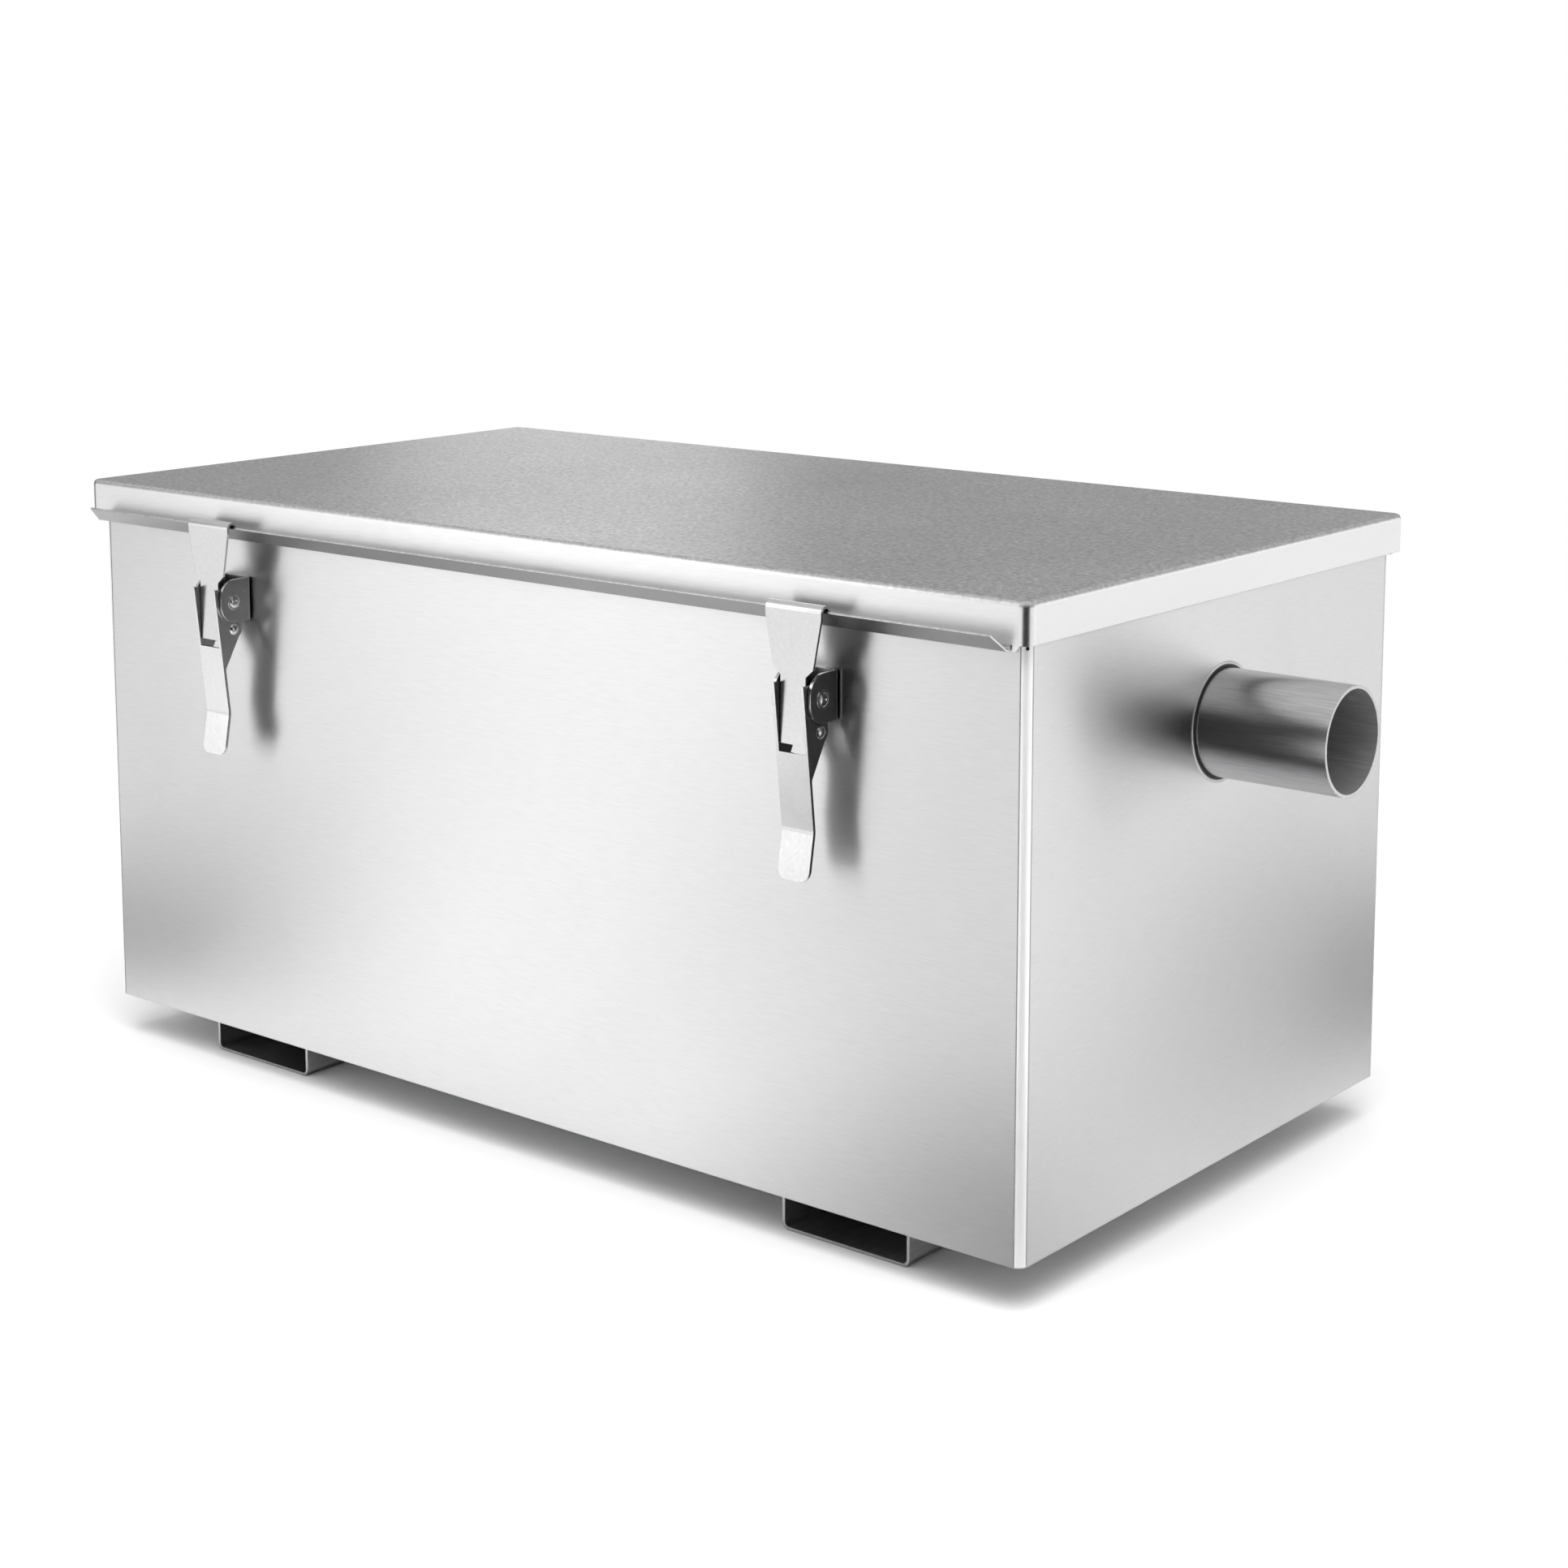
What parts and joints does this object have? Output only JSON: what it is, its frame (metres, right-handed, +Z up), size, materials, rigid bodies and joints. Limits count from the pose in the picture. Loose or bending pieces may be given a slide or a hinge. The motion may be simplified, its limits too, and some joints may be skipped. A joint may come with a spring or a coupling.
{
  "type": "grease trap",
  "caption": "Stainless under-sink grease trap: box tank on channel feet, overhanging lid pulled down by draw latches, side pipe spigots, strainer basket and baffles inside.",
  "frame": {"origin": "on the floor, under the middle of the tank", "axes": "+X out of the outlet pipe, -Y the front with its two latches, +Z up"},
  "size_m": [0.73, 0.3606, 0.3075],
  "materials": {
    "brushed_steel": "stainless sheet with a fine even grain",
    "plain_steel": "mill-finish stainless, a little duller than the walls",
    "latch_steel": "tumbled pressed stainless",
    "rubber": "matte black seal rubber"
  },
  "bodies": {
    "tank": {"tank_front": "brushed_steel", "tank_back": "brushed_steel", "tank_inlet_end": "brushed_steel", "tank_outlet_end": "brushed_steel", "tank_floor": "brushed_steel", "foot_left": "plain_steel", "foot_right": "plain_steel", "inlet_pipe": "plain_steel", "outlet_pipe": "plain_steel", "outlet_elbow": "plain_steel", "lid": "brushed_steel", "lid_seal": "rubber", "inlet_baffle": "brushed_steel", "outlet_baffle": "brushed_steel", "inlet_guide_front": "brushed_steel", "inlet_guide_back": "brushed_steel", "outlet_guide_front": "brushed_steel", "outlet_guide_back": "brushed_steel", "basket_rail_front": "brushed_steel", "basket_rail_back": "brushed_steel", "strainer_basket": "plain_steel", "basket_handle": "plain_steel", "front_left_bracket": "latch_steel", "front_left_rivets": "latch_steel", "front_right_bracket": "latch_steel", "front_right_rivets": "latch_steel", "back_right_bracket": "latch_steel", "back_right_rivets": "latch_steel", "back_left_bracket": "latch_steel", "back_left_rivets": "latch_steel"},
    "front_left_lever_body": {"front_left_lever": "latch_steel", "front_left_pin": "latch_steel"},
    "front_left_hook_body": {"front_left_hook": "latch_steel"},
    "front_right_lever_body": {"front_right_lever": "latch_steel", "front_right_pin": "latch_steel"},
    "front_right_hook_body": {"front_right_hook": "latch_steel"},
    "back_right_lever_body": {"back_right_lever": "latch_steel", "back_right_pin": "latch_steel"},
    "back_right_hook_body": {"back_right_hook": "latch_steel"},
    "back_left_lever_body": {"back_left_lever": "latch_steel", "back_left_pin": "latch_steel"},
    "back_left_hook_body": {"back_left_hook": "latch_steel"}
  },
  "joints": [
    {"name": "front_left_lever_hinge", "type": "hinge", "parent": "tank", "child": "front_left_lever_body", "pos_m": [-0.192, -0.169, 0.25499], "axis": [-1, 0, 0], "range_deg": [0, 90]},
    {"name": "front_left_hook_hinge", "type": "hinge", "parent": "front_left_lever_body", "child": "front_left_hook_body", "pos_m": [-0.192, -0.168, 0.24028], "axis": [-1, 0, 0], "range_deg": [-67.5, 0]},
    {"name": "front_right_lever_hinge", "type": "hinge", "parent": "tank", "child": "front_right_lever_body", "pos_m": [0.192, -0.169, 0.25499], "axis": [-1, 0, 0], "range_deg": [0, 90]},
    {"name": "front_right_hook_hinge", "type": "hinge", "parent": "front_right_lever_body", "child": "front_right_hook_body", "pos_m": [0.192, -0.168, 0.24028], "axis": [-1, 0, 0], "range_deg": [-67.5, 0]},
    {"name": "back_right_lever_hinge", "type": "hinge", "parent": "tank", "child": "back_right_lever_body", "pos_m": [0.192, 0.169, 0.25499], "axis": [1, 0, 0], "range_deg": [0, 90]},
    {"name": "back_right_hook_hinge", "type": "hinge", "parent": "back_right_lever_body", "child": "back_right_hook_body", "pos_m": [0.192, 0.168, 0.24028], "axis": [1, 0, 0], "range_deg": [-67.5, 0]},
    {"name": "back_left_lever_hinge", "type": "hinge", "parent": "tank", "child": "back_left_lever_body", "pos_m": [-0.192, 0.169, 0.25499], "axis": [1, 0, 0], "range_deg": [0, 90]},
    {"name": "back_left_hook_hinge", "type": "hinge", "parent": "back_left_lever_body", "child": "back_left_hook_body", "pos_m": [-0.192, 0.168, 0.24028], "axis": [1, 0, 0], "range_deg": [-67.5, 0]}
  ],
  "couplings": [
    {"joint": "front_left_hook_hinge", "follows": "front_left_lever_hinge", "ratio": -0.75},
    {"joint": "front_right_hook_hinge", "follows": "front_right_lever_hinge", "ratio": -0.75},
    {"joint": "back_right_hook_hinge", "follows": "back_right_lever_hinge", "ratio": -0.75},
    {"joint": "back_left_hook_hinge", "follows": "back_left_lever_hinge", "ratio": -0.75}
  ]
}
